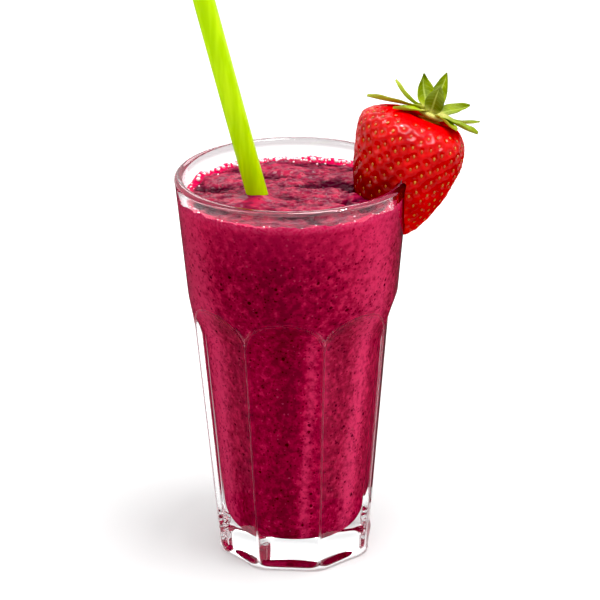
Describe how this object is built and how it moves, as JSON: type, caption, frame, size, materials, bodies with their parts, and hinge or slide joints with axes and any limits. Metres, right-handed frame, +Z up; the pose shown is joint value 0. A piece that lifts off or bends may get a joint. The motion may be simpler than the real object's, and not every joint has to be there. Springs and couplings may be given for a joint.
{
  "type": "mixed berry smoothie",
  "caption": "Thick berry smoothie in a tall fluted glass tumbler, with a slanted drinking straw and a strawberry on the rim.",
  "frame": {"origin": "middle of the flat underside of the glass", "axes": "+Z up the glass, +X towards the strawberry, -Y towards the viewer of the picture"},
  "size_m": [0.1156, 0.088, 0.2447],
  "materials": {
    "clear_glass": "clear pressed glass, polished",
    "berry_drink": "thick blended fruit, moist, with dark and light flecks and a foamy edge",
    "lime_plastic": "smooth lime-green plastic, slightly translucent",
    "strawberry_flesh": "shiny ripe skin with dimples and yellow seeds",
    "leaf_green": "satin leaf with a paler underside and a yellowish base"
  },
  "bodies": {
    "root": {"glass": "clear_glass", "smoothie": "berry_drink", "straw": "lime_plastic", "strawberry": "strawberry_flesh", "strawberry_cap": "leaf_green"}
  },
  "joints": []
}
